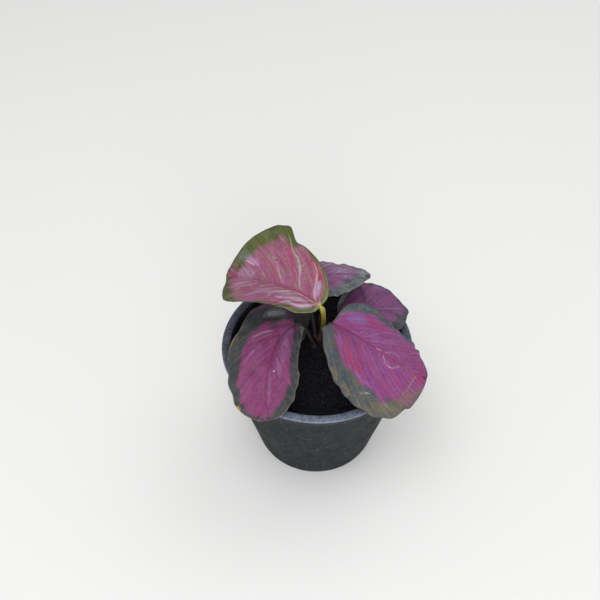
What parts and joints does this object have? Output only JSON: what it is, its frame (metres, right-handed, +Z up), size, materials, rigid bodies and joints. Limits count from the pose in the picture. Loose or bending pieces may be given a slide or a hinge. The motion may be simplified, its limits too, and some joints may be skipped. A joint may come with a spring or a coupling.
{
  "type": "potted calathea",
  "caption": "Small calathea with pink and magenta leaves edged in dark green, rising from soil in a round tapered plastic nursery pot.",
  "frame": {"origin": "middle of the pot's flat base, on the surface it stands on", "axes": "+Z up along the pot's axis; -Y towards the front of the picture, where the two largest leaves reach over the rim; +X to its right"},
  "size_m": [0.1045, 0.1001, 0.1179],
  "materials": {
    "pot_plastic": "matt black recycled plastic, dusty, with a paler rounded lip",
    "soil_mix": "dark fibrous potting mix",
    "crown_sheath": "dark purple-brown leaf sheaths",
    "pink_blade": "young leaf, pink with cream streaks and an olive green margin, waxy",
    "magenta_blade": "mature leaf, magenta centre with a grey-green margin, purple below",
    "plum_blade": "mature leaf, plum centre with a grey margin, purple below",
    "dark_blade": "old leaf, dark grey-green, purple below",
    "green_petiole": "yellow-green leaf stalk",
    "brown_petiole": "dark purple-brown leaf stalk"
  },
  "bodies": {
    "root": {"pot": "pot_plastic", "soil": "soil_mix", "crown": "crown_sheath", "young_leaf_blade": "pink_blade", "young_leaf_petiole": "green_petiole", "front_left_leaf_blade": "magenta_blade", "front_left_leaf_petiole": "brown_petiole", "front_right_leaf_blade": "magenta_blade", "front_right_leaf_petiole": "brown_petiole", "back_right_leaf_blade": "plum_blade", "back_right_leaf_petiole": "brown_petiole", "back_leaf_blade": "plum_blade", "back_leaf_petiole": "brown_petiole", "lower_leaf_blade": "dark_blade", "lower_leaf_petiole": "brown_petiole"}
  },
  "joints": []
}
